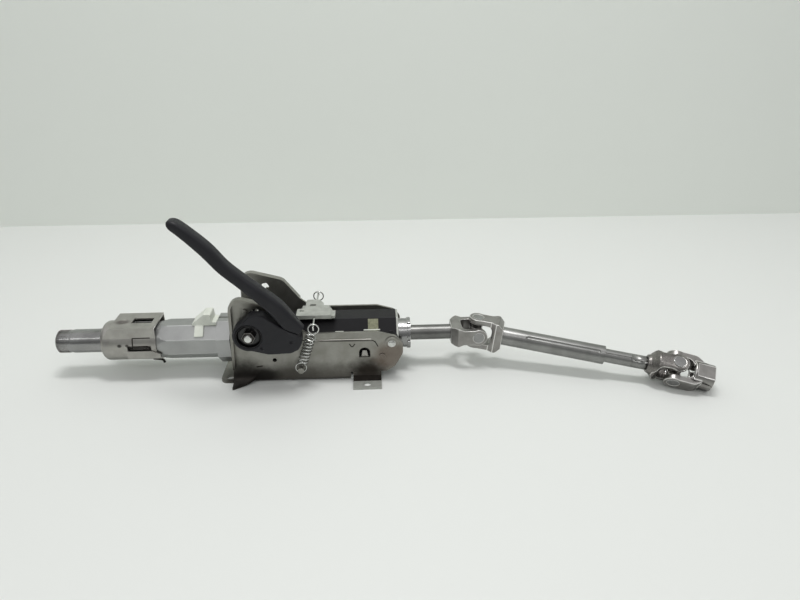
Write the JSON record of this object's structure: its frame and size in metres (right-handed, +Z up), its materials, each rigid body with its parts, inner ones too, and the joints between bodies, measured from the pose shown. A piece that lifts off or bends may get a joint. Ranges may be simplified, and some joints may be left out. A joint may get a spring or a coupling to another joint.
{
  "type": "steering column",
  "caption": "Adjustable steering column: pressed mounting console, tilting guide tube, sliding jacket, clamp lever, balance springs, and an intermediate shaft with universal joints.",
  "frame": {"origin": "on the underside of the mounting console, in the middle of the channel and midway between the front and rear mounting holes", "axes": "+X along the column axis towards the intermediate shaft, +Y to the side away from the clamp lever, +Z up from the mounting face"},
  "size_m": [0.7626, 0.1497, 0.2067],
  "materials": {
    "console_steel": "satin",
    "bright_steel": "polished",
    "black_coat": "satin",
    "cast_alloy": "matt",
    "jacket_steel": "satin",
    "housing_steel": "satin",
    "bearing_steel": "polished",
    "shaft_steel": "polished",
    "forged_steel": "matt",
    "cup_steel": "polished",
    "lever_plastic": "moulded",
    "white_plastic": "moulded",
    "pad_rubber": "matt"
  },
  "bodies": {
    "console": {"console": "console_steel", "tilt_rack_right": "console_steel", "tilt_rack_left": "console_steel", "pivot_bush_right": "white_plastic", "pivot_bush_left": "white_plastic", "side_plug_right": "white_plastic", "side_plug_left": "white_plastic", "spring_posts": "bright_steel", "console_rivets": "bright_steel", "spring_right": "bright_steel", "spring_left": "bright_steel"},
    "guide": {"guide_tube": "black_coat", "clamp_ear_right": "black_coat", "clamp_ear_left": "black_coat", "friction_plate_right": "console_steel", "friction_plate_left": "console_steel", "slide_bush_front": "white_plastic", "slide_bush_rear": "white_plastic", "end_plate": "cast_alloy", "lower_bearing": "bearing_steel", "bearing_collar": "bearing_steel", "pivot_pins": "bright_steel", "clamp_bolt": "bright_steel", "clamp_nut": "bright_steel", "clamp_washer": "bright_steel", "fixed_cam": "console_steel", "far_block": "console_steel", "spring_bridge": "cast_alloy", "spring_bail": "bright_steel", "damper_pad": "pad_rubber"},
    "lever": {"lever": "lever_plastic", "moving_cam": "console_steel"},
    "jacket": {"jacket_tube": "jacket_steel", "lock_housing": "housing_steel", "upper_bearing": "bearing_steel", "jacket_clip": "white_plastic", "lock_flap": "housing_steel"},
    "wheel_shaft": {"upper_shaft": "shaft_steel", "lock_ring": "bearing_steel", "upper_race": "bearing_steel", "circlip": "bearing_steel"},
    "lower_shaft": {"lower_shaft": "shaft_steel", "lower_race": "bearing_steel", "yoke_1": "forged_steel", "yoke_1_cup_right": "cup_steel", "yoke_1_cup_left": "cup_steel"},
    "first_cross": {"cross_1": "forged_steel"},
    "outer_shaft": {"yoke_2": "forged_steel", "yoke_2_cup_upper": "cup_steel", "yoke_2_cup_lower": "cup_steel", "mid_tube": "shaft_steel"},
    "inner_shaft": {"mid_inner": "shaft_steel", "yoke_3": "forged_steel", "yoke_3_cup_upper": "cup_steel", "yoke_3_cup_lower": "cup_steel"},
    "second_cross": {"cross_2": "forged_steel"},
    "end_yoke": {"end_yoke": "forged_steel", "end_yoke_cup_upper": "cup_steel", "end_yoke_cup_lower": "cup_steel"}
  },
  "joints": [
    {"name": "tilt", "type": "hinge", "parent": "console", "child": "guide", "pos_m": [0.11, 0, 0.049], "axis": [0, 1, 0], "range_deg": [0, 5], "deforming": ["spring_right", "spring_left"]},
    {"name": "lever_swing", "type": "hinge", "parent": "guide", "child": "lever", "pos_m": [-0.0475, -0.05, 0.072], "axis": [0, 1, 0], "range_deg": [-40, 0]},
    {"name": "reach", "type": "slide", "parent": "guide", "child": "jacket", "axis": [-1, 0, 0], "range_m": [0, 0.055]},
    {"name": "lower_spin", "type": "hinge", "parent": "guide", "child": "lower_shaft", "pos_m": [0.1095, 0, 0.042], "axis": [1, 0, 0], "continuous": true},
    {"name": "wheel_spin", "type": "hinge", "parent": "jacket", "child": "wheel_shaft", "pos_m": [-0.2165, 0, 0.042], "axis": [1, 0, 0], "continuous": true},
    {"name": "first_joint_pitch", "type": "hinge", "parent": "lower_shaft", "child": "first_cross", "pos_m": [0.2145, 0, 0.042], "axis": [0, 1, 0], "range_deg": [-30, 20]},
    {"name": "first_joint_yaw", "type": "hinge", "parent": "first_cross", "child": "outer_shaft", "pos_m": [0.2145, 0, 0.042], "axis": [0.0958, 0, 0.9954], "range_deg": [-9, 41]},
    {"name": "shaft_slide", "type": "slide", "parent": "outer_shaft", "child": "inner_shaft", "axis": [0.9568, -0.2756, -0.0921], "range_m": [-0.025, 0.03]},
    {"name": "second_joint_swing", "type": "hinge", "parent": "inner_shaft", "child": "second_cross", "pos_m": [0.43649, -0.06395, 0.02063], "axis": [0.069, 0.5235, -0.8492], "range_deg": [-30, 20]},
    {"name": "second_joint_tip", "type": "hinge", "parent": "second_cross", "child": "end_yoke", "pos_m": [0.43649, -0.06395, 0.02063], "axis": [0.3646, 0.7791, 0.51], "range_deg": [-25, 25]}
  ],
  "couplings": [
    {"joint": "wheel_spin", "follows": "lower_spin", "ratio": 1}
  ]
}
